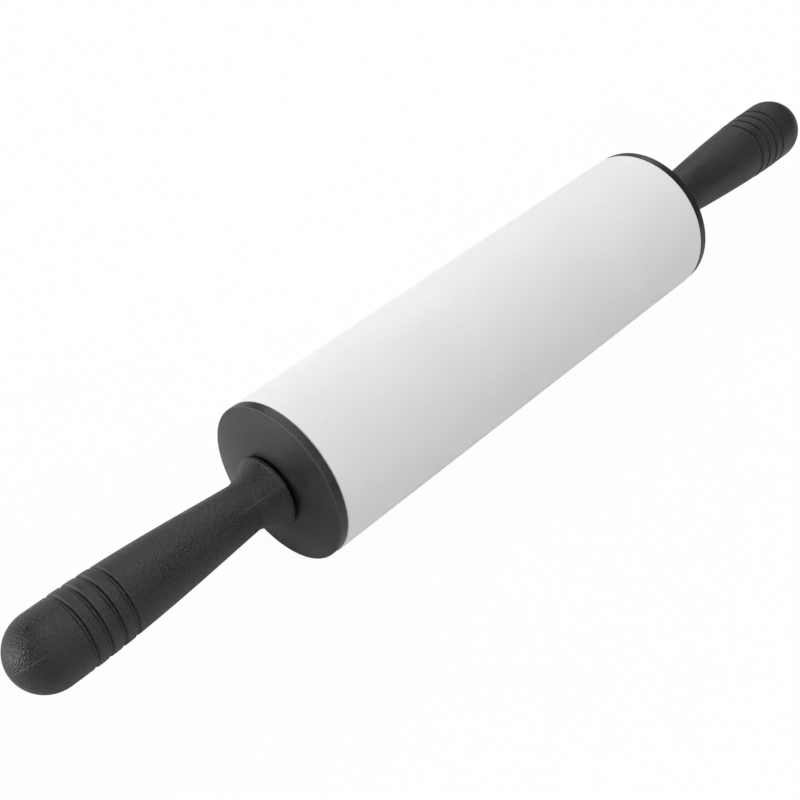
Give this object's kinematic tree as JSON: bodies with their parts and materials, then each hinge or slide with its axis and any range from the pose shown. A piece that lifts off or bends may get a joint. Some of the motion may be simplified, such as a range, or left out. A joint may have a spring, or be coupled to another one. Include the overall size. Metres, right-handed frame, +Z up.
{
  "type": "rolling pin",
  "caption": "Rolling pin with a white silicone barrel that spins on a steel axle between two black moulded handles.",
  "frame": {"origin": "on the table, under the middle of the barrel", "axes": "+X along the pin's axis towards its right handle, +Z up, +Y to the back"},
  "size_m": [0.405, 0.0572, 0.0571],
  "materials": {
    "silicone": "matt white moulded silicone",
    "tube_aluminium": "as extruded",
    "cap_polymer": "satin black moulded polypropylene",
    "acetal": "natural white, machined smooth",
    "rod_steel": "bright drawn",
    "nylon": "punched from natural sheet",
    "brass": "turned and knurled",
    "handle_polymer": "satin black moulded polypropylene"
  },
  "bodies": {
    "barrel": {"silicone_sleeve": "silicone", "core_tube": "tube_aluminium", "left_end_cap": "cap_polymer", "right_end_cap": "cap_polymer", "left_bush": "acetal", "right_bush": "acetal"},
    "axle": {"axle_rod": "rod_steel", "left_thrust_washer": "nylon", "right_thrust_washer": "nylon", "left_threaded_insert": "brass", "right_threaded_insert": "brass", "left_handle": "handle_polymer", "right_handle": "handle_polymer"}
  },
  "joints": [
    {"name": "axle_spin", "type": "hinge", "parent": "barrel", "child": "axle", "pos_m": [0, 0, 0.02857], "axis": [1, 0, 0], "continuous": true}
  ]
}
